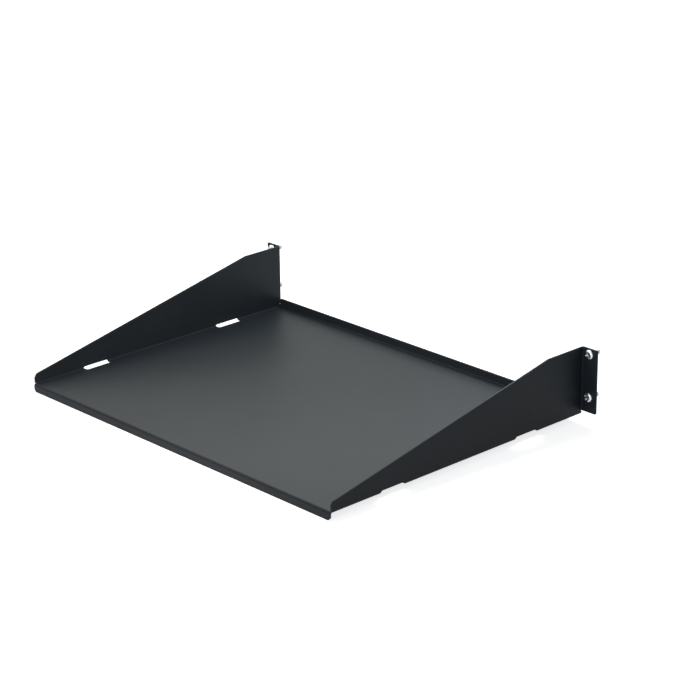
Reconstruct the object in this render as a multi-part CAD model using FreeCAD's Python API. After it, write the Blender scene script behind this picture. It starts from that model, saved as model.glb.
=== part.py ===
# Cantilever shelf for a nineteen inch rack, two rack units high.
# One steel sheet is cut flat and folded: a tray, two tapering side walls
# folded up, a front lip folded down, a rear lip folded up and two ears
# folded outwards. Four pan head screws sit in the ears.
# The origin is the centre of the four screw holes, on the back of the ears.
# X runs to the right, Y to the back, Z up. All sizes are in millimetres.
import FreeCAD, Part
import math
import os

from FreeCAD import Vector

# Sheet
SHEET = 1.9                 # sheet thickness
BEND_INSIDE = 0.8           # inside radius of every fold

# Outside sizes
BODY_WIDTH = 446.0          # across the outer faces of the side walls
DEPTH = 340.0               # back of the ears to the face of the front lip
SIDE_HEIGHT = 71.2          # underside of the tray to the top of a side wall

# Side walls
SIDE_TOP_FLAT = 51.0        # level part of the top edge, measured from the ears
SIDE_FRONT_HEIGHT = 11.2    # height of the sloping edge where it meets the front
SIDE_FRONT_SETBACK = 1.4    # front edge of a side wall behind the face of the lip
SIDE_CORNER = 3.0           # corner cut off the front end of the sloping edge

# Lips
FRONT_LIP = 8.8             # top of the tray to the lower edge of the front lip
FRONT_LIP_CORNER = 2.6      # corners cut off the ends of the front lip
REAR_LIP = 10.6             # underside of the tray to the top of the rear lip
REAR_LIP_SETBACK = 1.5      # back of the rear lip in front of the back of the ears
REAR_LIP_END = 3.4          # end of the rear lip inside the outer face of a side
REAR_LIP_CORNER = 1.2       # corners cut off the ends of the rear lip
CORNER_RELIEF = 0.7         # slit between the front lip and the fold of a side

# Ears and their screw holes
EAR_REACH = 18.3            # outer face of a side wall to the outer edge of its ear
EAR_HEIGHT = 67.0           # height of an ear
EAR_CORNER = 1.5            # radius of the outer corners of an ear
EAR_RELIEF = 2.0            # radius of the notch below the fold of an ear
EAR_RELIEF_RISE = 1.3       # how far that notch rises above the foot of the ear
HOLE_FROM_EDGE = 8.7375     # hole to the outer edge of the ear
HOLE_SPACING_Z = 44.45      # between the holes of one ear, one rack unit
HOLE_BELOW_TOP = 5.6        # upper hole below the top edge of the ear
HOLE_DIAMETER = 7.0         # clearance hole

# Strap slots, cut flat across the folds of the side walls
SLOT_LENGTH = 32.0          # along the fold
SLOT_WIDTH = 8.2            # across the fold, measured on the flat sheet
SLOT_CORNER = 2.0           # radius of the corners of a slot
SLOT_REAR = 80.5            # centre of the rear slots, from the ears
SLOT_SPACING = 180.2        # rear slot to front slot
SLOT_ON_SIDE = 0.35         # part of the width above the fold, on the side wall
SLOT_FOLD_SECTIONS = 7      # sections the cutter passes through round the fold
SLOT_FOLD_CLEAR = 0.4       # how far the cutter passes the sheet inside the fold

# Screws, number 12 thread by half an inch
SCREW_DIAMETER = 5.486      # thread diameter
SCREW_LENGTH = 12.7         # below the head
SCREW_TIP = 0.7             # chamfer at the tip
NECK_DIAMETER = 4.7         # plain neck between the head and the thread
NECK_BEHIND_EAR = 0.2       # how far the neck reaches out of the back of the ear
HEAD_DIAMETER = 10.2        # pan head
HEAD_HEIGHT = 3.4           # pan head
HEAD_CROWN = 1.5            # height of the domed part of the head
HEAD_BULGE = 0.52           # how far the dome stands out from a straight cone
HEAD_FLAT = 2.6             # radius of the flat top round the recess
RECESS_SPAN = 6.6           # tip to tip of the cross recess
RECESS_WING = 1.3           # width of one wing at the top
RECESS_DEPTH = 2.7          # depth of the cross recess
RECESS_FLOOR_SPAN = 2.8     # tip to tip at its floor
RECESS_FLOOR_WING = 0.9     # width of one wing at its floor

# Values worked out from the sizes above
BEND_OUTSIDE = BEND_INSIDE + SHEET
HALF_BODY = BODY_WIDTH / 2
HALF_EARS = HALF_BODY + EAR_REACH
HOLE_COLUMN = HALF_EARS - HOLE_FROM_EDGE
TOP = HOLE_SPACING_Z / 2 + HOLE_BELOW_TOP
UNDERSIDE = TOP - SIDE_HEIGHT
TRAY_TOP = UNDERSIDE + SHEET
EAR_FOOT = TOP - EAR_HEIGHT
FRONT = -DEPTH
SIDE_FRONT = FRONT + SIDE_FRONT_SETBACK
TRAY_FRONT = FRONT + BEND_OUTSIDE
REAR_LIP_BACK = -REAR_LIP_SETBACK
TRAY_REAR = REAR_LIP_BACK - BEND_OUTSIDE
SLOT_CENTRES_Y = (-SLOT_REAR, -SLOT_REAR - SLOT_SPACING)
CLEAR = 5.0                 # how far a cutting tool stands out of the sheet
TOUCHING = 1e-6             # points closer than this are the same point

AXIS_X = Vector(1, 0, 0)
AXIS_Y = Vector(0, 1, 0)
AXIS_Z = Vector(0, 0, 1)


def rounded_face(corners, radii):
    """Flat face on a closed outline whose corners are rounded by the given radii."""
    count = len(corners)
    edges = []
    starts = []
    ends = []
    middles = []
    for i in range(count):
        corner = corners[i]
        back = (corners[i - 1] - corner).normalize()
        ahead = (corners[(i + 1) % count] - corner).normalize()
        half_angle = back.getAngle(ahead) / 2
        run = radii[i] / math.tan(half_angle)
        bisector = (back + ahead).normalize()
        centre = corner + bisector * (radii[i] / math.sin(half_angle))
        starts.append(corner + back * run)
        ends.append(corner + ahead * run)
        middles.append(centre - bisector * radii[i])
    for i in range(count):
        if radii[i] > 0:
            edges.append(Part.Arc(starts[i], middles[i], ends[i]).toShape())
        next_start = starts[(i + 1) % count]
        if ends[i].distanceToPoint(next_start) > TOUCHING:
            edges.append(Part.LineSegment(ends[i], next_start).toShape())
    return Part.Face(Part.Wire(edges))


def box_between(low, high):
    """Box from its lowest corner to its highest corner."""
    size = high - low
    return Part.makeBox(size.x, size.y, size.z, low)


def both_sides(shape):
    """The shape on the right, and its mirror image on the left."""
    return [shape, shape.mirror(Vector(0, 0, 0), AXIS_X)]


def folded_trough():
    """Tray and side walls as one U section with rounded folds, cut to the side outline."""
    inner = HALF_BODY - SHEET
    corners = [
        Vector(-HALF_BODY, SIDE_FRONT, TOP),
        Vector(-HALF_BODY, SIDE_FRONT, UNDERSIDE),
        Vector(HALF_BODY, SIDE_FRONT, UNDERSIDE),
        Vector(HALF_BODY, SIDE_FRONT, TOP),
        Vector(inner, SIDE_FRONT, TOP),
        Vector(inner, SIDE_FRONT, TRAY_TOP),
        Vector(-inner, SIDE_FRONT, TRAY_TOP),
        Vector(-inner, SIDE_FRONT, TOP),
    ]
    radii = [0, BEND_OUTSIDE, BEND_OUTSIDE, 0, 0, BEND_INSIDE, BEND_INSIDE, 0]
    section = rounded_face(corners, radii)
    trough = section.extrude(AXIS_Y * (TRAY_REAR - SIDE_FRONT))
    return trough.common(side_outline()).cut(front_opening())


def side_outline():
    """Outline of a side wall seen from the side, drawn right across the shelf."""
    front_top = Vector(-HALF_EARS, SIDE_FRONT, UNDERSIDE + SIDE_FRONT_HEIGHT)
    slope_top = Vector(-HALF_EARS, -SIDE_TOP_FLAT, TOP)
    along_slope = (slope_top - front_top).normalize()
    corners = [
        Vector(-HALF_EARS, SIDE_FRONT, UNDERSIDE),
        front_top - AXIS_Z * SIDE_CORNER,
        front_top + along_slope * SIDE_CORNER,
        slope_top,
        Vector(-HALF_EARS, TRAY_REAR, TOP),
        Vector(-HALF_EARS, TRAY_REAR, UNDERSIDE),
    ]
    outline = Part.Face(Part.makePolygon(corners + [corners[0]]))
    return outline.extrude(AXIS_X * HALF_EARS * 2)


def front_opening():
    """What is taken out of the trough in front, where the front lip folds down."""
    between_folds = box_between(
        Vector(-HALF_BODY - CLEAR, SIDE_FRONT - CLEAR, UNDERSIDE - CLEAR),
        Vector(HALF_BODY + CLEAR, TRAY_FRONT, UNDERSIDE + BEND_OUTSIDE),
    )
    right_slit = box_between(
        Vector(HALF_BODY - BEND_OUTSIDE, SIDE_FRONT - CLEAR, UNDERSIDE - CLEAR),
        Vector(HALF_BODY + CLEAR, TRAY_FRONT + CORNER_RELIEF, UNDERSIDE + BEND_OUTSIDE),
    )
    return Part.makeCompound([between_folds] + both_sides(right_slit))


def front_lip():
    """Lip along the whole front edge, folded down, with its lower corners cut off."""
    foot = TRAY_TOP - FRONT_LIP
    corners = [
        Vector(-HALF_BODY, TRAY_FRONT, TRAY_TOP),
        Vector(-HALF_BODY, FRONT, TRAY_TOP),
        Vector(-HALF_BODY, FRONT, foot),
        Vector(-HALF_BODY, FRONT + SHEET, foot),
        Vector(-HALF_BODY, FRONT + SHEET, UNDERSIDE),
        Vector(-HALF_BODY, TRAY_FRONT, UNDERSIDE),
    ]
    section = rounded_face(corners, [0, BEND_OUTSIDE, 0, 0, BEND_INSIDE, 0])
    lip = section.extrude(AXIS_X * BODY_WIDTH)
    outline = [
        Vector(-HALF_BODY, FRONT, TRAY_TOP),
        Vector(HALF_BODY, FRONT, TRAY_TOP),
        Vector(HALF_BODY, FRONT, foot + FRONT_LIP_CORNER),
        Vector(HALF_BODY - FRONT_LIP_CORNER, FRONT, foot),
        Vector(-HALF_BODY + FRONT_LIP_CORNER, FRONT, foot),
        Vector(-HALF_BODY, FRONT, foot + FRONT_LIP_CORNER),
    ]
    face = Part.Face(Part.makePolygon(outline + [outline[0]]))
    return lip.common(face.extrude(AXIS_Y * BEND_OUTSIDE))


def rear_lip():
    """Lip along the rear edge between the side walls, folded up."""
    half_length = HALF_BODY - REAR_LIP_END
    crest = UNDERSIDE + REAR_LIP
    corners = [
        Vector(-half_length, TRAY_REAR, UNDERSIDE),
        Vector(-half_length, REAR_LIP_BACK, UNDERSIDE),
        Vector(-half_length, REAR_LIP_BACK, crest),
        Vector(-half_length, REAR_LIP_BACK - SHEET, crest),
        Vector(-half_length, REAR_LIP_BACK - SHEET, TRAY_TOP),
        Vector(-half_length, TRAY_REAR, TRAY_TOP),
    ]
    section = rounded_face(corners, [0, BEND_OUTSIDE, 0, 0, BEND_INSIDE, 0])
    lip = section.extrude(AXIS_X * half_length * 2)
    outline = [
        Vector(-half_length, TRAY_REAR, UNDERSIDE),
        Vector(half_length, TRAY_REAR, UNDERSIDE),
        Vector(half_length, TRAY_REAR, crest - REAR_LIP_CORNER),
        Vector(half_length - REAR_LIP_CORNER, TRAY_REAR, crest),
        Vector(-half_length + REAR_LIP_CORNER, TRAY_REAR, crest),
        Vector(-half_length, TRAY_REAR, crest - REAR_LIP_CORNER),
    ]
    face = Part.Face(Part.makePolygon(outline + [outline[0]]))
    return lip.common(face.extrude(AXIS_Y * BEND_OUTSIDE))


def hole_places():
    """Centres of the two holes of the right ear, upper one first."""
    return [
        Vector(HOLE_COLUMN, 0, HOLE_SPACING_Z / 2),
        Vector(HOLE_COLUMN, 0, -HOLE_SPACING_Z / 2),
    ]


def right_ear():
    """Ear folded outwards from the right side wall, with holes and a fold relief."""
    inner = HALF_BODY - SHEET
    corners = [
        Vector(inner, TRAY_REAR, EAR_FOOT),
        Vector(HALF_BODY, TRAY_REAR, EAR_FOOT),
        Vector(HALF_BODY, -SHEET, EAR_FOOT),
        Vector(HALF_EARS, -SHEET, EAR_FOOT),
        Vector(HALF_EARS, 0, EAR_FOOT),
        Vector(inner, 0, EAR_FOOT),
    ]
    section = rounded_face(corners, [0, 0, BEND_INSIDE, 0, 0, BEND_OUTSIDE])
    ear = section.extrude(AXIS_Z * EAR_HEIGHT)
    outline = [
        Vector(inner, TRAY_REAR, EAR_FOOT),
        Vector(HALF_EARS, TRAY_REAR, EAR_FOOT),
        Vector(HALF_EARS, TRAY_REAR, TOP),
        Vector(inner, TRAY_REAR, TOP),
    ]
    face = rounded_face(outline, [0, EAR_CORNER, EAR_CORNER, 0])
    ear = ear.common(face.extrude(AXIS_Y * -TRAY_REAR))
    for place in hole_places():
        bore = Part.makeCylinder(
            HOLE_DIAMETER / 2, SHEET + 2 * CLEAR, place - AXIS_Y * (SHEET + CLEAR), AXIS_Y
        )
        ear = ear.cut(bore)
    return ear.cut(fold_relief())


def fold_relief():
    """Round cutter square to the middle of the ear's fold, just below its foot."""
    out_of_fold = Vector(-1, 1, 0).normalize()
    fold_axis = Vector(HALF_BODY + BEND_INSIDE, -BEND_OUTSIDE, 0)
    height = AXIS_Z * (EAR_FOOT + EAR_RELIEF_RISE - EAR_RELIEF)
    start = fold_axis + height - out_of_fold * CLEAR
    return Part.makeCylinder(EAR_RELIEF, 2 * CLEAR, start, out_of_fold)


def slot_half_length(across):
    """Half of the slot's length, at this distance across the flat sheet from its middle."""
    into_corner = abs(across) - (SLOT_WIDTH / 2 - SLOT_CORNER)
    if into_corner <= 0:
        return SLOT_LENGTH / 2
    return SLOT_LENGTH / 2 - SLOT_CORNER + math.sqrt(SLOT_CORNER ** 2 - into_corner ** 2)


def strap_slot(centre_y):
    """Cutter for one slot on the right, as if cut in the flat sheet and then folded.

    The slot is measured across the flat sheet, along its mid surface: a little
    on the side wall, all of the fold, and the rest on the tray.
    """
    fold_length = math.pi / 2 * (BEND_INSIDE + SHEET / 2)
    middle_to_wall = SLOT_WIDTH / 2 - SLOT_ON_SIDE
    middle_to_tray = middle_to_wall - fold_length
    tray_end = HALF_BODY - BEND_OUTSIDE
    wall_end = UNDERSIDE + BEND_OUTSIDE

    # Straight down through the tray, as far as the fold
    middle_x = tray_end - middle_to_tray
    low = UNDERSIDE - CLEAR
    outline = slot_outline(Vector(middle_x, centre_y, low), AXIS_X)
    through_tray = outline.extrude(AXIS_Z * (SHEET + 2 * CLEAR))
    keep_tray = box_between(
        Vector(middle_x - SLOT_LENGTH, centre_y - SLOT_LENGTH, low),
        Vector(tray_end, centre_y + SLOT_LENGTH, TRAY_TOP + CLEAR),
    )

    # Straight out through the side wall, the same outline above the fold
    middle_z = wall_end - middle_to_wall
    inside = HALF_BODY - SHEET - CLEAR
    outline = slot_outline(Vector(inside, centre_y, middle_z), AXIS_Z)
    through_wall = outline.extrude(AXIS_X * (SHEET + 2 * CLEAR))
    keep_wall = box_between(
        Vector(inside, centre_y - SLOT_LENGTH, wall_end),
        Vector(HALF_BODY + CLEAR, centre_y + SLOT_LENGTH, wall_end + SLOT_WIDTH),
    )

    # Across the fold, lofted through radial sections of the right length
    fold_axis = Vector(tray_end, centre_y, wall_end)
    sections = []
    for i in range(SLOT_FOLD_SECTIONS):
        share = i / (SLOT_FOLD_SECTIONS - 1)
        angle = share * math.pi / 2
        outward = Vector(math.sin(angle), 0, -math.cos(angle))
        half_length = slot_half_length(middle_to_tray + share * fold_length)
        near = fold_axis + outward * (BEND_INSIDE - SLOT_FOLD_CLEAR)
        far = fold_axis + outward * (BEND_OUTSIDE + CLEAR)
        along = AXIS_Y * half_length
        sections.append(Part.makePolygon(
            [near - along, far - along, far + along, near + along, near - along]
        ))
    through_fold = Part.makeLoft(sections, True, False)
    return [through_tray.common(keep_tray), through_fold, through_wall.common(keep_wall)]


def slot_outline(middle, across):
    """Outline of a slot round its middle, with its width along the given axis."""
    half_width = across * (SLOT_WIDTH / 2)
    half_length = AXIS_Y * (SLOT_LENGTH / 2)
    corners = [
        middle - half_width - half_length,
        middle + half_width - half_length,
        middle + half_width + half_length,
        middle - half_width + half_length,
    ]
    return rounded_face(corners, [SLOT_CORNER] * 4)


def shelf():
    """The folded sheet, in one piece."""
    body = folded_trough().fuse([front_lip(), rear_lip()] + both_sides(right_ear()))
    for centre_y in SLOT_CENTRES_Y:
        for cutter in strap_slot(centre_y):
            for side in both_sides(cutter):
                body = body.cut(side)
    return body.removeSplitter()


def cross_recess():
    """Cross recess that narrows towards its floor, its top at the origin."""
    wings = []
    for turn in (0, 90):
        top = wing_outline(RECESS_SPAN, RECESS_WING, 0)
        floor = wing_outline(RECESS_FLOOR_SPAN, RECESS_FLOOR_WING, RECESS_DEPTH)
        wing = Part.makeLoft([top, floor], True, True)
        wing.rotate(Vector(0, 0, 0), AXIS_Y, turn)
        wings.append(wing)
    return wings[0].fuse(wings[1])


def wing_outline(span, width, depth):
    """Rectangle of one wing of the recess, at this depth below the top of the head."""
    corners = [
        Vector(-span / 2, depth, -width / 2),
        Vector(span / 2, depth, -width / 2),
        Vector(span / 2, depth, width / 2),
        Vector(-span / 2, depth, width / 2),
    ]
    return Part.makePolygon(corners + [corners[0]])


def pan_head_screw():
    """Screw along +Y, with the underside of its head at the origin."""
    radius = SCREW_DIAMETER / 2
    neck_radius = NECK_DIAMETER / 2
    neck_end = SHEET + NECK_BEHIND_EAR
    head_radius = HEAD_DIAMETER / 2
    rim = HEAD_HEIGHT - HEAD_CROWN
    shoulder = Vector(head_radius, -rim, 0)
    crown_edge = Vector(HEAD_FLAT, -HEAD_HEIGHT, 0)
    outward = Vector(HEAD_CROWN, HEAD_FLAT - head_radius, 0).normalize()
    crown_middle = (shoulder + crown_edge) * 0.5 + outward * HEAD_BULGE
    crown = Part.Arc(crown_edge, crown_middle, shoulder).toShape()
    below_crown = Part.makePolygon([
        shoulder,
        Vector(head_radius, 0, 0),
        Vector(neck_radius, 0, 0),
        Vector(neck_radius, neck_end, 0),
        Vector(radius, neck_end, 0),
        Vector(radius, SCREW_LENGTH - SCREW_TIP, 0),
        Vector(radius - SCREW_TIP, SCREW_LENGTH, 0),
        Vector(0, SCREW_LENGTH, 0),
        Vector(0, -HEAD_HEIGHT, 0),
        crown_edge,
    ])
    outline = Part.Wire([crown] + below_crown.Edges)
    screw = Part.Face(outline).revolve(Vector(0, 0, 0), AXIS_Y, 360)
    recess = cross_recess()
    recess.translate(AXIS_Y * -HEAD_HEIGHT)
    return screw.cut(recess)


def mounting_screws():
    """Four screws through the ears, heads on the front faces of the ears."""
    screws = []
    for place in hole_places():
        for column in (place, Vector(-place.x, place.y, place.z)):
            screw = pan_head_screw()
            screw.translate(column - AXIS_Y * SHEET)
            screws.append(screw)
    return Part.makeCompound(screws)


def main():
    os.makedirs("parts", exist_ok=True)
    pieces = {"shelf": shelf(), "mounting_screws": mounting_screws()}
    for name, shape in pieces.items():
        shape.exportStep("parts/" + name + ".step")
        box = shape.optimalBoundingBox(False)
        print(name, "valid", shape.isValid(), "solids", len(shape.Solids), "faces", len(shape.Faces))
        print("  volume %.1f" % shape.Volume)
        print("  X %.2f to %.2f, Y %.2f to %.2f, Z %.2f to %.2f" % (
            box.XMin, box.XMax, box.YMin, box.YMax, box.ZMin, box.ZMax))


main()
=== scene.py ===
# %% [markdown]
# # A cantilever rack shelf, folded from one sheet
# The real shelf is a single steel blank: it is cut flat, its tray, walls, lips
# and ears are folded up on a press brake, and it is powder coated black. Four
# zinc plated screws hold its ears. This lesson makes it the same way, in the
# same order: draw the blank, score it, fold it, give it its thickness, coat it.

# %% Load the measured frame
import math

import bpy
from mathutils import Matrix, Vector


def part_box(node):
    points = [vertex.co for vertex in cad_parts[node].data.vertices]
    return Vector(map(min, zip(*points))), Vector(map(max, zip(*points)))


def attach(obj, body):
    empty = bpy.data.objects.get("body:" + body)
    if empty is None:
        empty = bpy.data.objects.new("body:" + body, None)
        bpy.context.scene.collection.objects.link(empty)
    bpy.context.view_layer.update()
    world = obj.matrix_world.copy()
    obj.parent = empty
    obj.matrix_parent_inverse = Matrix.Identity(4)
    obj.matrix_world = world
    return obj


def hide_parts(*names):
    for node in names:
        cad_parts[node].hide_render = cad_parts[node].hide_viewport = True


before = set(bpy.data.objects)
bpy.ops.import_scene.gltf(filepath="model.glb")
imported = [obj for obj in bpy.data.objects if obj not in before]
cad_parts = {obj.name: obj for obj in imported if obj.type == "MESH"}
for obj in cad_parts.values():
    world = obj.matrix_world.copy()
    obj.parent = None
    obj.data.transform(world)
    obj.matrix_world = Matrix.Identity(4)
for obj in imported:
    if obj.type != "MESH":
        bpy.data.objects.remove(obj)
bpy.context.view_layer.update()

MM = 0.001
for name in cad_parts:
    low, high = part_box(name)
    print(name, "measures", [round(s / MM, 2) for s in high - low], "mm")

# %% [markdown]
# ## Tools that every step uses
# An operator in Blender acts on whatever is selected. So each step first clears
# the selection, and then picks its own points or faces by their place. These
# helpers keep that in one place. Picking by place is the careful way: a number
# in a list of points would change as soon as a cut adds a point.

# %% Tools for picking


def work_on(*pieces):
    """Selects these pieces alone; the last one is the active one."""
    if bpy.context.object and bpy.context.object.mode == "EDIT":
        bpy.ops.object.mode_set(mode="OBJECT")
    bpy.ops.object.select_all(action="DESELECT")
    for piece in pieces:
        piece.select_set(True)
        bpy.context.view_layer.objects.active = piece


def pick_points(piece, wanted):
    """Opens the piece for editing; wanted(index, place) says which points are selected."""
    work_on(piece)
    bpy.context.tool_settings.mesh_select_mode = (True, False, False)
    mesh = piece.data
    for part in (mesh.edges, mesh.polygons):
        part.foreach_set("select", [False] * len(part))
    for point in mesh.vertices:
        point.select = wanted(point.index, point.co)
    bpy.ops.object.mode_set(mode="EDIT")


def pick_faces(piece, wanted):
    """Opens the piece for editing; wanted(centre) says which faces are selected."""
    work_on(piece)
    bpy.context.tool_settings.mesh_select_mode = (False, False, True)
    mesh = piece.data
    for part in (mesh.vertices, mesh.edges):
        part.foreach_set("select", [False] * len(part))
    for face in mesh.polygons:
        face.select = wanted(face.center)
    bpy.ops.object.mode_set(mode="EDIT")


def apply_modifier(piece, kind, **settings):
    """Adds one modifier with these settings and applies it."""
    work_on(piece)
    modifier = piece.modifiers.new(kind.title(), kind)
    for setting, value in settings.items():
        setattr(modifier, setting, value)
    bpy.ops.object.modifier_apply(modifier=modifier.name)


# %% [markdown]
# ## The camera
# The picture is taken from the front right and a little above, from 2.5 metres
# away with a long lens, so the far ear looks hardly smaller than the near one.
# The camera was placed by matching the corners of the real shelf, whose width
# is fixed by the nineteen inch standard, with where they are in the picture.

# %% Place the camera
CAMERA_PLACE = (1.63784, -1.64423, 0.83936)
CAMERA_TURN = (69.3425, 0.5240, 46.5693)     # degrees
LENS = 121.39                                # mm
SENSOR = 36                                  # mm wide
SIGHT = 50                                   # metres that the camera sees
bpy.ops.object.camera_add(
    location=CAMERA_PLACE, rotation=[math.radians(angle) for angle in CAMERA_TURN]
)
camera = bpy.context.object
camera.name = "picture_camera"
camera.data.lens = LENS
camera.data.sensor_width = SENSOR
camera.data.clip_end = SIGHT
bpy.context.scene.camera = camera
print("camera", round(camera.location.length, 2), "m away, lens", round(camera.data.lens), "mm")

# %% [markdown]
# ## Floor and surroundings
# A product like this is shot on a white sweep. The floor is a real pale surface
# that takes the shadow. What the eye and a reflection see of it is lifted to
# white with Light Path, so that the white costs no extra light on the shelf.
# The surroundings are made the same way: white to look at, weaker as a light.

# %% Lay the floor
FLOOR_LEVEL = -50.4 * MM                     # just under the lower edge of the front lip
FLOOR_SIZE = 14                              # metres, so that its edges stay out of sight
PAPER = (0.80, 0.80, 0.80, 1)
WHITE = (1, 1, 1, 1)
FLOOR_LIFT = 0.78                            # brings lit paper up to white, not its shadow
scene = bpy.context.scene
scene.view_settings.view_transform = "Standard"


def seen_or_mirrored(nodes, links):
    """1 where a camera, glossy or transmitted ray looks, 0 for light that falls on things."""
    path = nodes.new("ShaderNodeLightPath")
    either = nodes.new("ShaderNodeMath")
    either.operation = "MAXIMUM"
    links.new(path.outputs["Is Camera Ray"], either.inputs[0])
    links.new(path.outputs["Is Glossy Ray"], either.inputs[1])
    any_of_three = nodes.new("ShaderNodeMath")
    any_of_three.operation = "MAXIMUM"
    links.new(either.outputs[0], any_of_three.inputs[0])
    links.new(path.outputs["Is Transmission Ray"], any_of_three.inputs[1])
    return any_of_three.outputs[0]


bpy.ops.mesh.primitive_plane_add(size=FLOOR_SIZE, location=(0, 0, FLOOR_LEVEL))
floor = bpy.context.object
floor.name = "studio_floor"
pale_floor = bpy.data.materials.new("pale_floor")
pale_floor.use_nodes = True
nodes, links = pale_floor.node_tree.nodes, pale_floor.node_tree.links
nodes.clear()
paper = nodes.new("ShaderNodeBsdfDiffuse")
paper.inputs["Color"].default_value = PAPER
lift = nodes.new("ShaderNodeEmission")
lift.inputs["Color"].default_value = WHITE
lift_strength = nodes.new("ShaderNodeMath")
lift_strength.operation = "MULTIPLY"
lift_strength.inputs[1].default_value = FLOOR_LIFT
links.new(seen_or_mirrored(nodes, links), lift_strength.inputs[0])
links.new(lift_strength.outputs[0], lift.inputs["Strength"])
both = nodes.new("ShaderNodeAddShader")
links.new(paper.outputs[0], both.inputs[0])
links.new(lift.outputs[0], both.inputs[1])
floor_out = nodes.new("ShaderNodeOutputMaterial")
links.new(both.outputs[0], floor_out.inputs["Surface"])
floor.data.materials.append(pale_floor)
print("the floor lies", round(-FLOOR_LEVEL / MM, 1), "mm below the middle of the ears")

# %% Whiten the surroundings
WORLD_AS_LIGHT = 0.20
WORLD_AS_SEEN = 1.0
world = bpy.data.worlds.new("white_surroundings")
scene.world = world
world.use_nodes = True
nodes, links = world.node_tree.nodes, world.node_tree.links
nodes.clear()
room_light = nodes.new("ShaderNodeBackground")
room_light.inputs["Color"].default_value = WHITE
room_light.inputs["Strength"].default_value = WORLD_AS_LIGHT
white_wall = nodes.new("ShaderNodeBackground")
white_wall.inputs["Color"].default_value = WHITE
white_wall.inputs["Strength"].default_value = WORLD_AS_SEEN
choose = nodes.new("ShaderNodeMixShader")
links.new(seen_or_mirrored(nodes, links), choose.inputs["Fac"])
links.new(room_light.outputs[0], choose.inputs[1])
links.new(white_wall.outputs[0], choose.inputs[2])
world_out = nodes.new("ShaderNodeOutputWorld")
links.new(choose.outputs[0], world_out.inputs["Surface"])
print("the surroundings look", WORLD_AS_SEEN, "white and light the shelf at", WORLD_AS_LIGHT)

# %% [markdown]
# ## Soft boxes
# Black powder coat shows light mostly as a sheen, so the lamps are placed for
# their reflection. Two small soft boxes hang half a metre up, close behind the
# shelf, and a large one far behind it, where the tray's sheen mirrors them to
# the camera: that turns the tray grey and leaves the walls nearly black,
# because they face another way. One low over the tray lights the inside of the
# left wall, and one on the left keeps the front fold light up to its edge. The
# last one stands in front and a little to the right, for the front lip, the
# ears and the screws.

# %% Hang the soft boxes


def soft_box(name, place, aim, size, power, tint):
    """Square area lamp at this place, turned towards its aim."""
    bpy.ops.object.light_add(type="AREA", location=place)
    lamp = bpy.context.object
    lamp.name = name
    lamp.data.size = size
    lamp.data.energy = power
    lamp.data.color = tint
    lamp.rotation_euler = (Vector(aim) - Vector(place)).to_track_quat("-Z", "Y").to_euler()
    lamp.visible_camera = False
    print(name, "of", power, "W stands", round((Vector(place) - Vector(aim)).length, 2), "m away")


TRAY_MIDDLE = (0.1, -0.2, -0.04)
LEFT_WALL = (-0.22, -0.2, 0.0)
GREENISH = (0.95, 1.0, 0.84)
COOL = (0.72, 0.87, 1.0)
WARM = (1.0, 0.90, 0.80)
soft_box("soft_box_behind", (-0.35, 0.05, 0.5), TRAY_MIDDLE, 0.4, 1.2, GREENISH)
soft_box("soft_box_fold", (-0.1, 0.3, 0.45), TRAY_MIDDLE, 0.3, 2.35, COOL)
soft_box("soft_box_far", (-1.5, 1.2, 1.1), TRAY_MIDDLE, 1.4, 4.1, GREENISH)
soft_box("soft_box_low", (0.12, -0.32, 0.22), LEFT_WALL, 0.2, 1.2, WARM)
soft_box("soft_box_left", (-0.9, -0.3, 0.85), TRAY_MIDDLE, 0.8, 4.0, WARM)
soft_box("soft_box_front", (0.5, -1.8, 0.3), TRAY_MIDDLE, 0.8, 11.5, COOL)

# %% [markdown]
# ## Black powder coat
# Powder coat is a plastic skin baked onto the steel. Close up it is covered in
# a fine grain, with a slower orange peel under it, and it is satin: it has no
# mirror image, yet at a low angle it turns pale. A dark base with a rough
# gloss gives that. The grain and the peel are two noise textures on Object
# coordinates, in metres, joined into one height for a Bump node.

# %% Mix the powder coat


def noise(nodes, links, scale, detail):
    """Noise texture on the object's own coordinates, its scale in waves per metre."""
    place = nodes.new("ShaderNodeTexCoord")
    texture = nodes.new("ShaderNodeTexNoise")
    texture.inputs["Scale"].default_value = scale
    texture.inputs["Detail"].default_value = detail
    links.new(place.outputs["Object"], texture.inputs["Vector"])
    return texture.outputs["Fac"]


NOISE_LOW, NOISE_HIGH = 0.3, 0.7             # most values of a noise lie between these


def spread(nodes, links, value, low, high):
    """Maps the usual values of a noise onto low to high."""
    remap = nodes.new("ShaderNodeMapRange")
    remap.inputs["From Min"].default_value = NOISE_LOW
    remap.inputs["From Max"].default_value = NOISE_HIGH
    remap.inputs["To Min"].default_value = low
    remap.inputs["To Max"].default_value = high
    links.new(value, remap.inputs["Value"])
    return remap.outputs["Result"]


def between_colours(nodes, links, value, first, second):
    """Mixes two colours by a value from 0 to 1."""
    mix = nodes.new("ShaderNodeMix")
    mix.data_type = "RGBA"
    mix.inputs["A"].default_value = (*first, 1)
    mix.inputs["B"].default_value = (*second, 1)
    links.new(value, mix.inputs["Factor"])
    return mix.outputs["Result"]


def stand_out(nodes, links, shader, height, strength, distance):
    """Makes this height stand out on the shader's surface, by so many metres at most."""
    bump = nodes.new("ShaderNodeBump")
    bump.inputs["Strength"].default_value = strength
    bump.inputs["Distance"].default_value = distance
    links.new(height, bump.inputs["Height"])
    links.new(bump.outputs["Normal"], shader.inputs["Normal"])


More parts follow.
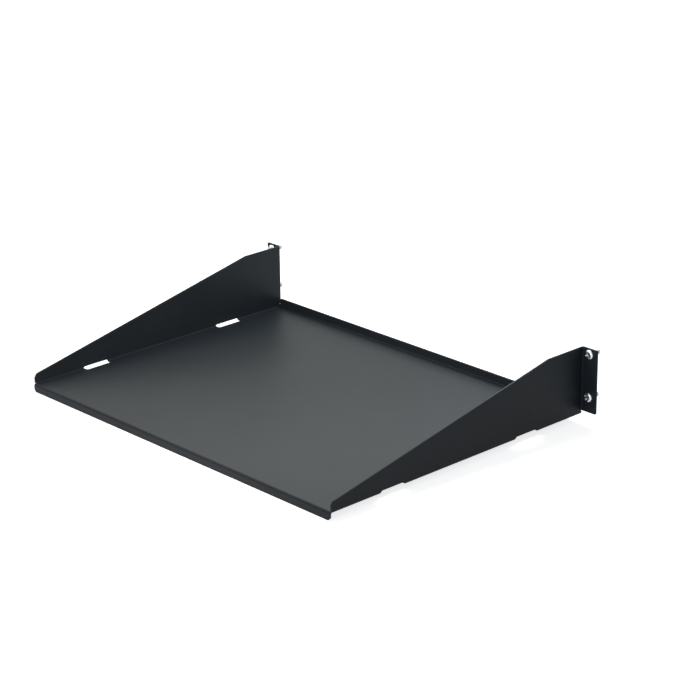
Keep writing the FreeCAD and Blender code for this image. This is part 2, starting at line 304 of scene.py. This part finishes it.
COAT_DARK = (0.0140, 0.0169, 0.0206)
COAT_PALE = (0.0161, 0.0195, 0.0238)
COAT_SHEEN = 0.1
COAT_ROUGHNESS = (0.40, 0.50)
GRAIN_SCALE = 2600                           # waves per metre
PEEL_SCALE = 520
CLOUD_SCALE = 14
PEEL_SHARE = 1.4                             # height of the peel, in heights of the grain
COAT_RELIEF = 0.35                           # strength of the bump
COAT_RELIEF_HEIGHT = 0.05 * MM
powder_coat = bpy.data.materials.new("black_powder_coat")
powder_coat.use_nodes = True
nodes, links = powder_coat.node_tree.nodes, powder_coat.node_tree.links
coat = nodes["Principled BSDF"]
coat.inputs["Specular IOR Level"].default_value = COAT_SHEEN
grain = noise(nodes, links, GRAIN_SCALE, 2)
peel = noise(nodes, links, PEEL_SCALE, 1)
cloudy = noise(nodes, links, CLOUD_SCALE, 3)
links.new(
    between_colours(nodes, links, spread(nodes, links, cloudy, 0, 1), COAT_DARK, COAT_PALE),
    coat.inputs["Base Color"],
)
links.new(spread(nodes, links, grain, *COAT_ROUGHNESS), coat.inputs["Roughness"])
height = nodes.new("ShaderNodeMath")
height.operation = "MULTIPLY_ADD"
links.new(peel, height.inputs[0])
height.inputs[1].default_value = PEEL_SHARE
links.new(grain, height.inputs[2])
stand_out(nodes, links, coat, height.outputs[0], COAT_RELIEF, COAT_RELIEF_HEIGHT)
print("powder coat made of", len(nodes), "nodes")

# %% [markdown]
# ## Zinc plate
# The screws are steel with a thin bright layer of zinc. Zinc is a metal, so all
# of its colour is in its reflection: a cool grey with a breath of blue, cloudy
# where the bath left it so. The finest noise roughens the shine a little.

# %% Mix the zinc
ZINC_COOL = (0.60, 0.62, 0.65)
ZINC_PALE = (0.72, 0.72, 0.70)
ZINC_ROUGHNESS = (0.22, 0.36)
ZINC_CLOUD_SCALE = 700
ZINC_GRAIN_SCALE = 4000
ZINC_RELIEF = 0.15
ZINC_RELIEF_HEIGHT = 0.02 * MM
zinc = bpy.data.materials.new("bright_zinc")
zinc.use_nodes = True
nodes, links = zinc.node_tree.nodes, zinc.node_tree.links
plate = nodes["Principled BSDF"]
plate.inputs["Metallic"].default_value = 1
clouds = noise(nodes, links, ZINC_CLOUD_SCALE, 2)
links.new(
    between_colours(nodes, links, spread(nodes, links, clouds, 0, 1), ZINC_COOL, ZINC_PALE),
    plate.inputs["Base Color"],
)
links.new(spread(nodes, links, clouds, *ZINC_ROUGHNESS), plate.inputs["Roughness"])
shine = noise(nodes, links, ZINC_GRAIN_SCALE, 1)
stand_out(nodes, links, plate, shine, ZINC_RELIEF, ZINC_RELIEF_HEIGHT)
print("zinc made of", len(nodes), "nodes")

# %% [markdown]
# ## The blank
# A press brake starts from a flat blank, so this piece does too. Blender could
# also cut the slots in the finished shelf, but they run round its folds, and
# a straight cutter would leave their ends the wrong shape. Drawn flat they are
# plain slots with rounded corners, and folding bends them as it does in steel.
# The outline is drawn for the middle of the sheet's thickness, as the shop
# does, because that layer keeps its length when the steel bends.

# %% Sizes of the sheet and its folds
SHEET = 1.9 * MM
BEND_INSIDE = 0.8 * MM
BEND_OUTSIDE = BEND_INSIDE + SHEET
BEND_MIDDLE = BEND_INSIDE + SHEET / 2
BEND_STEPS = 8                               # small turns that make up one fold
STEP_ANGLE = math.pi / 2 / BEND_STEPS
STEP_LENGTH = 2 * BEND_MIDDLE * math.sin(STEP_ANGLE / 2)
FOLD_LENGTH = BEND_STEPS * STEP_LENGTH
HALF_BODY = 223.0 * MM                       # to the outer face of a side wall
HALF_EARS = 241.3 * MM                       # to the outer edge of an ear
TOP = 27.825 * MM                            # top edge of the side walls
UNDERSIDE = -43.375 * MM                     # underside of the tray
MIDDLE = UNDERSIDE + SHEET / 2               # level of the blank's middle layer
print("one fold uses up", round(FOLD_LENGTH / MM, 3), "mm of the blank")

# %% Places of the fold lines on the blank
SIDE_LINE = HALF_BODY - BEND_OUTSIDE         # where a side wall begins to rise
WALL_LINE = SIDE_LINE + FOLD_LENGTH          # where it is upright
FRONT_LINE = -337.3 * MM                     # where the front lip begins to fall
LIP_LINE = FRONT_LINE - FOLD_LENGTH
REAR_LINE = -4.2 * MM                        # where the rear lip begins to rise
CREST_LINE = REAR_LINE + FOLD_LENGTH
EAR_LINE = -BEND_OUTSIDE                     # where an ear begins to turn outwards
EAR_FLAT_LINE = EAR_LINE + FOLD_LENGTH
print("the walls begin to rise", round(SIDE_LINE / MM, 2), "mm from the middle of the blank")


def wall_place(height):
    """Place on the blank, across it, of a height above the underside of the finished tray."""
    return WALL_LINE + height - BEND_OUTSIDE


def arc(centre, radius, start, end, count):
    """Points along an arc on the blank, angles in degrees.

    A point that nearly meets a fold line of the walls is set on it, so that the
    line won't cut off a splinter of an edge there.
    """
    points = []
    for i in range(count + 1):
        angle = math.radians(start + (end - start) * i / count)
        x = centre[0] + radius * math.cos(angle)
        line = round((abs(x) - SIDE_LINE) / STEP_LENGTH)
        on_line = math.copysign(SIDE_LINE + line * STEP_LENGTH, x)
        if 0 <= line <= BEND_STEPS and abs(x - on_line) < STEP_LENGTH / 3:
            x = on_line
        points.append((x, centre[1] + radius * math.sin(angle)))
    return points


# %% Draw the outline of the right half
LIP_FLAT = 6.1 * MM                          # front lip below its fold
LIP_CORNER = 2.6 * MM
FRONT_HALF_WIDTH = 221.9 * MM                # of the front lip
CREST_FLAT = 7.9 * MM                        # rear lip above its fold
CREST_CORNER = 1.2 * MM
LIP_HALF_WIDTH = 220.2 * MM                  # of the rear lip
CORNER_SLIT = 0.7 * MM                       # frees the front lip's fold from a wall's
WALL_FRONT = -338.6 * MM
WALL_CORNER = 3.0 * MM                       # cut off where the slope meets the front edge
SLOPE_FOOT_HEIGHT = 11.2 * MM
SLOPE_END = -51.0 * MM                       # from here to the ears the top edge is level
EAR_FOOT_HEIGHT = 4.2 * MM
EAR_ROUND = 1.5 * MM
EAR_ROUND_STEPS = 6
EAR_SLIT = 0.7 * MM                          # frees the ear's fold from the wall below it
EAR_SLIT_PAST_FOLD = 0.4 * MM                # how far the slit runs on past the fold
HEEL = -1.2 * MM                             # rear edge of the wall below the ear
WALL_FOOT_IN_FOLD = 0.8 * MM                 # how far the wall's foot reaches into its fold

lip_foot = LIP_LINE - LIP_FLAT
crest = CREST_LINE + CREST_FLAT
wall_foot = WALL_LINE - WALL_FOOT_IN_FOLD    # lower edge of the wall beside the front lip
ear_edge = EAR_FLAT_LINE + HALF_EARS - HALF_BODY - BEND_INSIDE
ear_foot = wall_place(EAR_FOOT_HEIGHT)
ear_top = wall_place(TOP - UNDERSIDE)
slope_foot = Vector((wall_place(SLOPE_FOOT_HEIGHT), WALL_FRONT))
slope_top = Vector((ear_top, SLOPE_END))
up_the_slope = (slope_top - slope_foot).normalized()
slit_end = EAR_LINE - EAR_SLIT_PAST_FOLD
heel_inside = SIDE_LINE + 2 * STEP_LENGTH    # the heel ends on a line of the wall's fold

right_half = [
    (FRONT_HALF_WIDTH - LIP_CORNER, lip_foot),
    (FRONT_HALF_WIDTH, lip_foot + LIP_CORNER),
    (FRONT_HALF_WIDTH, FRONT_LINE),
    (SIDE_LINE, FRONT_LINE),
    (SIDE_LINE, FRONT_LINE + CORNER_SLIT),
    (wall_foot, FRONT_LINE + CORNER_SLIT),
    (wall_foot, WALL_FRONT),
    (slope_foot.x - WALL_CORNER, WALL_FRONT),
    tuple(slope_foot + up_the_slope * WALL_CORNER),
    tuple(slope_top),
]
for start, x in ((0, ear_top - EAR_ROUND), (90, ear_foot + EAR_ROUND)):
    corner = (x, ear_edge - EAR_ROUND)
    right_half += arc(corner, EAR_ROUND, start, start + 90, EAR_ROUND_STEPS)
right_half += [
    (ear_foot, slit_end),
    (ear_foot - EAR_SLIT, slit_end),
    (ear_foot - EAR_SLIT, HEEL),
    (heel_inside, HEEL),
    (heel_inside, REAR_LINE),
    (LIP_HALF_WIDTH, REAR_LINE),
    (LIP_HALF_WIDTH, crest - CREST_CORNER),
    (LIP_HALF_WIDTH - CREST_CORNER, crest),
]
outline = right_half + [(-x, y) for x, y in reversed(right_half)]
blank_size = (ear_top * 2, ear_edge - lip_foot)
print("the blank measures", " by ".join(str(round(size / MM, 1)) for size in blank_size), "mm")

# %% Draw the slots and the screw holes
SLOT_HALF_LENGTH = 16.0 * MM
SLOT_HALF_WIDTH = 4.1 * MM
SLOT_CORNER = 2.0 * MM                       # radius of its corners
SLOT_CORNER_STEPS = 12
SLOT_ON_WALL = 0.35 * MM                     # how far it reaches up the wall, past the fold
SLOT_PLACES = (-80.5 * MM, -260.7 * MM)
HOLE_RADIUS = 3.5 * MM
HOLE_POINTS = 48
HOLE_FROM_EDGE = 8.7375 * MM                 # to the outer edge of the ear
HOLE_HEIGHTS = (65.6 * MM, 21.15 * MM)       # above the underside of the tray
slot_across = WALL_LINE + SLOT_ON_WALL - SLOT_HALF_WIDTH
hole_along = ear_edge - HOLE_FROM_EDGE
loops = [outline]
for side in (1, -1):
    for slot_along in SLOT_PLACES:
        slot = []
        for quarter, (across, along) in enumerate(((1, 1), (-1, 1), (-1, -1), (1, -1))):
            centre = (
                side * slot_across + across * (SLOT_HALF_WIDTH - SLOT_CORNER),
                slot_along + along * (SLOT_HALF_LENGTH - SLOT_CORNER),
            )
            start = quarter * 90
            slot += arc(centre, SLOT_CORNER, start, start + 90, SLOT_CORNER_STEPS)
        loops.append(slot)
    for height in HOLE_HEIGHTS:
        centre = (side * wall_place(height), hole_along)
        last_angle = 360 - 360 / HOLE_POINTS
        loops.append(arc(centre, HOLE_RADIUS, 0, last_angle, HOLE_POINTS - 1))

points = []
edges = []
for loop in loops:
    first = len(points)
    points += [(x, y, MIDDLE) for x, y in loop]
    edges += [(first + i, first + (i + 1) % len(loop)) for i in range(len(loop))]
blank_mesh = bpy.data.meshes.new("folded_sheet")
blank_mesh.from_pydata(points, edges, [])
sheet = bpy.data.objects.new("folded_sheet", blank_mesh)
scene.collection.objects.link(sheet)
pick_points(sheet, lambda i, place: True)
bpy.ops.mesh.fill(use_beauty=True)
bpy.ops.object.mode_set(mode="OBJECT")
blank_area = sum(face.area for face in blank_mesh.polygons)
print("the blank has", len(loops) - 1, "openings and", round(blank_area * 1e4), "cm2 of sheet")

# %% [markdown]
# ## Scoring the fold lines
# A face can't bend in its middle, so the blank gets a cut line wherever the
# steel bends: nine lines across each fold, eight narrow strips. Bisect draws
# them. It is told which faces to cut, so that the lines of a wall don't run on
# across the tray.

# %% Score the blank
TOUCHING = 1e-6                              # points nearer than this are one
HAIR = 5e-6                                  # a difference too small to be a distance
CLEAR = 1 * MM                               # keeps a pick clear of the next fold


def score(direction, place, wanted):
    """Cuts a line across the wanted faces, at this place along X or Y."""
    pick_faces(sheet, wanted)
    along_x = direction == "X"
    bpy.ops.mesh.bisect(
        plane_co=(place, 0, 0) if along_x else (0, place, 0),
        plane_no=(1, 0, 0) if along_x else (0, 1, 0),
        threshold=TOUCHING,
    )
    bpy.ops.object.mode_set(mode="OBJECT")


def on_tray(place):
    return abs(place.x) < SIDE_LINE


def behind_front_fold(across, along):
    """True behind the front lip's fold, and for the wall's own part beside it."""
    return along > FRONT_LINE + HAIR or across > wall_foot - HAIR


def on_wall(place):
    across = abs(place.x)
    return across > SIDE_LINE and behind_front_fold(across, place.y)


def on_front(place):
    return place.y < FRONT_LINE + CLEAR and abs(place.x) < FRONT_HALF_WIDTH


for side in (1, -1):
    score("X", side * SIDE_LINE, lambda place: True)
score("Y", FRONT_LINE, on_tray)
score("Y", REAR_LINE, on_tray)
for i in range(BEND_STEPS + 1):
    for side in (1, -1):
        score("X", side * (SIDE_LINE + i * STEP_LENGTH), on_wall)
    score("Y", EAR_LINE + i * STEP_LENGTH, on_wall)
    score("Y", FRONT_LINE - i * STEP_LENGTH, on_front)
    score("Y", REAR_LINE + i * STEP_LENGTH, on_tray)
print("the scored blank has", len(sheet.data.polygons), "faces")

# %% [markdown]
# ## Folding
# Each fold is made as on a press brake, in small turns: all that lies beyond
# the first line turns by half a step, beyond each further line by a whole step,
# and beyond the last by half a step again, which adds up to a right angle round
# an arc. A Simple Deform modifier could bend too, but it would bend the whole
# sheet and not just the narrow zone. The ears go first, while the walls are
# still flat. Where each point lay on the flat blank is remembered, because that
# says which points are beyond a line once the sheet is no longer flat.

# %% Fold the ears, the walls and the lips
flat = [point.co.copy() for point in sheet.data.vertices]


def fold(name, axis, turn, how_far):
    """Folds what how_far(flat place) puts beyond 0, round an axis along X or Y.

    how_far is the distance past the first line of the fold, or None elsewhere.
    """
    beyond = [how_far(place) for place in flat]
    for i in range(BEND_STEPS + 1):
        line = i * STEP_LENGTH
        on_line = next(
            n for n, far in enumerate(beyond) if far is not None and abs(far - line) < HAIR
        )
        centre = sheet.data.vertices[on_line].co.copy()
        angle = STEP_ANGLE if 0 < i < BEND_STEPS else STEP_ANGLE / 2
        pick_points(sheet, lambda n, place: beyond[n] is not None and beyond[n] > line + HAIR)
        bpy.ops.transform.rotate(value=turn * angle, orient_axis=axis, center_override=centre)
        bpy.ops.object.mode_set(mode="OBJECT")
    tip = max((n for n, far in enumerate(beyond) if far is not None), key=lambda n: beyond[n])
    print(name, "ends at", [round(c / MM, 2) for c in sheet.data.vertices[tip].co])


def past_wall_line(side):
    """Measures how far a place is past the first line of the wall on this side."""
    def how_far(place):
        across = side * place.x
        return across - SIDE_LINE if behind_front_fold(across, place.y) else None
    return how_far


def past_ear_line(place):
    return place.y - EAR_LINE if abs(place.x) > WALL_LINE + CLEAR else None


def past_front_line(place):
    return FRONT_LINE - place.y if abs(place.x) < FRONT_HALF_WIDTH + HAIR else None


def past_rear_line(place):
    return place.y - REAR_LINE if abs(place.x) < LIP_HALF_WIDTH + HAIR else None


fold("ears", "X", 1, past_ear_line)
fold("right wall", "Y", 1, past_wall_line(1))
fold("left wall", "Y", -1, past_wall_line(-1))
fold("front lip", "X", -1, past_front_line)
fold("rear lip", "X", -1, past_rear_line)

# %% [markdown]
# ## Thickness and edges
# Solidify grows the middle layer both ways to the real 1.9 mm, evenly, so the
# folds get their true inside and outside radius. Flat neighbours are joined
# first, which leaves one face per flat. A sheared edge under powder coat is
# never sharp: the powder builds a small radius, and that radius is what catches
# a thin line of light along every edge, so it is modelled with Bevel.

# %% Give the sheet its thickness and its soft edges
EDGE_ROUND = 0.3 * MM
STILL_FLAT = math.radians(0.5)               # faces that differ by less are joined
EDGE_ANGLE = math.radians(30)                # edges sharper than this are rounded
pick_points(sheet, lambda i, place: True)
bpy.ops.mesh.dissolve_limited(angle_limit=STILL_FLAT)
bpy.ops.mesh.select_all(action="SELECT")
bpy.ops.mesh.normals_make_consistent(inside=False)
bpy.ops.object.mode_set(mode="OBJECT")
print("folded, the sheet has", len(sheet.data.polygons), "faces")
apply_modifier(
    sheet, "SOLIDIFY", thickness=SHEET, offset=0, use_even_offset=True, use_quality_normals=True,
)
apply_modifier(
    sheet, "BEVEL", width=EDGE_ROUND, segments=3, limit_method="ANGLE",
    angle_limit=EDGE_ANGLE, use_clamp_overlap=False,
)
work_on(sheet)
bpy.ops.object.shade_smooth()
apply_modifier(sheet, "WEIGHTED_NORMAL", mode="FACE_AREA", weight=50, keep_sharp=False)
sheet.data.materials.append(powder_coat)
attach(sheet, "root")
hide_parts("shelf")
low = [min(v.co[i] for v in sheet.data.vertices) / MM for i in range(3)]
high = [max(v.co[i] for v in sheet.data.vertices) / MM for i in range(3)]
print("the finished sheet spans", [round(v, 2) for v in low], "to", [round(v, 2) for v in high])

# %% [markdown]
# ## The screws
# Each ear is held by two pan head machine screws. A screw is turned, so its
# profile is drawn once and spun: a flat crown, a domed shoulder, the bearing
# face, a plain neck as long as the ear is thick, the core of the thread and a
# chamfered tip. The cross recess is cut by two wedges, as its punch would form
# it. Spinning the whole thread with the body isn't possible, because a thread
# climbs as it turns; the Screw modifier does that for one ridge.

# %% Turn the body of a screw
SCREW_LENGTH = 12.7 * MM
HEAD_TOP = -3.4 * MM
HEAD_RADIUS = 4.7 * MM
CROWN_RADIUS = 2.6 * MM
SHOULDER = -1.9 * MM
NECK_RADIUS = 2.35 * MM
NECK_END = 2.1 * MM
NECK_SLOPE = 0.2 * MM                        # from the neck down to the core
CORE_RADIUS = 2.12 * MM
RIM = 0.3 * MM                               # softens the edge of the head's bearing face
RIM_MIDDLE = 0.3 * RIM                       # where that soft edge is halfway round
TIP = 0.7 * MM                               # length of the chamfer at the tip
TIP_INSET = 0.6 * MM                         # how far it comes in
SHOULDER_STEPS = 10
SPIN_STEPS = 48

profile = [(0, HEAD_TOP)]
for i in range(SHOULDER_STEPS + 1):
    angle = math.pi / 2 * (1 - i / SHOULDER_STEPS)
    profile.append((
        CROWN_RADIUS + (HEAD_RADIUS - CROWN_RADIUS) * math.cos(angle),
        SHOULDER + (HEAD_TOP - SHOULDER) * math.sin(angle),
    ))
profile += [
    (HEAD_RADIUS, -RIM),
    (HEAD_RADIUS - RIM_MIDDLE, -RIM_MIDDLE),
    (HEAD_RADIUS - RIM, 0),
    (NECK_RADIUS, 0),
    (NECK_RADIUS, NECK_END),
    (CORE_RADIUS, NECK_END + NECK_SLOPE),
    (CORE_RADIUS, SCREW_LENGTH - TIP),
    (CORE_RADIUS - TIP_INSET, SCREW_LENGTH),
    (0, SCREW_LENGTH),
]
screw_mesh = bpy.data.meshes.new("rack_screw")
screw_mesh.from_pydata(
    [(r, y, 0) for r, y in profile], [(i, i + 1) for i in range(len(profile) - 1)], []
)
screw = bpy.data.objects.new("rack_screw", screw_mesh)
scene.collection.objects.link(screw)
pick_points(screw, lambda i, place: True)
bpy.ops.mesh.spin(steps=SPIN_STEPS, angle=math.tau, center=(0, 0, 0), axis=(0, 1, 0))
bpy.ops.mesh.select_all(action="SELECT")
bpy.ops.mesh.remove_doubles(threshold=TOUCHING)
bpy.ops.mesh.normals_make_consistent(inside=False)
bpy.ops.object.mode_set(mode="OBJECT")
print("a turned screw has", len(screw_mesh.polygons), "faces")

# %% Punch the cross recess
RECESS_FLOOR = -0.7 * MM
ABOVE_HEAD = 0.6 * MM                        # the wedges start above the crown
WEDGE_SPAN = 7.44 * MM                       # tip to tip where they start
WEDGE_WIDTH = 1.39 * MM
FLOOR_SPAN = 2.8 * MM                        # and at the floor of the recess
FLOOR_WIDTH = 0.9 * MM
RECESS_EDGE = 0.07 * MM
RECESS_EDGE_ANGLE = math.radians(50)
wedge_depth = RECESS_FLOOR - HEAD_TOP + ABOVE_HEAD
for turn in (0, 90):
    bpy.ops.mesh.primitive_cube_add(
        size=1, location=(0, RECESS_FLOOR - wedge_depth / 2, 0),
        scale=(WEDGE_SPAN, wedge_depth, WEDGE_WIDTH),
    )
    wedge = bpy.context.object
    bpy.ops.object.transform_apply(location=True, rotation=True, scale=True)
    pick_points(wedge, lambda i, place: place.y > RECESS_FLOOR - HAIR)
    bpy.ops.transform.resize(
        value=(FLOOR_SPAN / WEDGE_SPAN, 1, FLOOR_WIDTH / WEDGE_WIDTH),
        center_override=(0, RECESS_FLOOR, 0),
    )
    bpy.ops.mesh.select_all(action="SELECT")
    bpy.ops.transform.rotate(
        value=math.radians(turn), orient_axis="Y", center_override=(0, 0, 0)
    )
    bpy.ops.object.mode_set(mode="OBJECT")
    apply_modifier(screw, "BOOLEAN", operation="DIFFERENCE", solver="EXACT", object=wedge)
    bpy.data.objects.remove(wedge)
apply_modifier(
    screw, "BEVEL", width=RECESS_EDGE, segments=2, limit_method="ANGLE",
    angle_limit=RECESS_EDGE_ANGLE, use_clamp_overlap=True,
)
print("with its recess it has", len(screw.data.polygons), "faces")

# %% Wind the thread
PITCH = 25.4 / 24 * MM                       # 24 threads to the inch
THREAD_RADIUS = 2.743 * MM
RIDGE_FOOT = 1.95 * MM                       # inside the core, so that no gap shows
HALF_FOOT = 0.52 * MM                        # half the ridge's width at its foot
HALF_CREST = 0.07 * MM                       # and at its crest
AFTER_NECK = 0.45 * MM                       # from the neck to the ridge's first turn
TURNS = 9
TURN_STEPS = 24
FADE_IN, FADE_OUT = 10, 14                   # steps in which the ridge rises and sinks
SMOOTH_BELOW = math.radians(35)              # corners sharper than this stay crisp
ridge = [
    (RIDGE_FOOT, -HALF_FOOT),
    (THREAD_RADIUS, -HALF_CREST),
    (THREAD_RADIUS, HALF_CREST),
    (RIDGE_FOOT, HALF_FOOT),
]
ridge_start = NECK_END + AFTER_NECK
thread_mesh = bpy.data.meshes.new("thread")
thread_mesh.from_pydata(
    [(r, ridge_start + y, 0) for r, y in ridge], [(i, (i + 1) % 4) for i in range(4)], []
)
thread = bpy.data.objects.new("thread", thread_mesh)
scene.collection.objects.link(thread)
apply_modifier(
    thread, "SCREW", axis="Y", angle=math.tau, screw_offset=PITCH, iterations=TURNS,
    steps=TURN_STEPS, render_steps=TURN_STEPS,
)
last_step = TURNS * TURN_STEPS
for point in thread.data.vertices:
    step = round((point.co.y - ridge_start) / PITCH * TURN_STEPS)
    fade = min(1, step / FADE_IN, (last_step - step) / FADE_OUT)
    radius = math.hypot(point.co.x, point.co.z)
    kept = (RIDGE_FOOT + max(fade, 0) * (radius - RIDGE_FOOT)) / radius
    point.co.x *= kept
    point.co.z *= kept
pick_points(thread, lambda i, place: True)
bpy.ops.mesh.fill_holes(sides=0)
bpy.ops.mesh.select_all(action="SELECT")
bpy.ops.mesh.normals_make_consistent(inside=False)
bpy.ops.object.mode_set(mode="OBJECT")
work_on(thread, screw)
bpy.ops.object.join()
bpy.ops.object.shade_smooth_by_angle(angle=SMOOTH_BELOW)
print("threaded, it has", len(screw.data.polygons), "faces")

# %% [markdown]
# ## Four screws in the ears
# The screw is copied to each hole. No two screws stop at the same angle, so
# each copy is turned a little differently before it is set in place.

# %% Set the screws
EAR_FRONT = -SHEET
COLUMN = 232.5625                            # mm, half the width from ear to ear
ROW = 22.225                                 # mm, half the height between an ear's screws
for name, column, row, turn in (
    ("screw_upper_right", COLUMN, ROW, 20),
    ("screw_lower_right", COLUMN, -ROW, 62),
    ("screw_upper_left", -COLUMN, ROW, 41),
    ("screw_lower_left", -COLUMN, -ROW, 8),
):
    work_on(screw)
    bpy.ops.object.duplicate(linked=False)
    copy = bpy.context.object
    copy.name = name
    pick_points(copy, lambda i, place: True)
    bpy.ops.transform.rotate(
        value=math.radians(turn), orient_axis="Y", center_override=(0, 0, 0)
    )
    bpy.ops.transform.translate(value=(column * MM, EAR_FRONT, row * MM))
    bpy.ops.object.mode_set(mode="OBJECT")
    copy.data.materials.append(zinc)
    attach(copy, "root")
    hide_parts("mounting_screws")
    print(name, "is set at", column, "mm across and", row, "mm up")
bpy.data.objects.remove(screw)
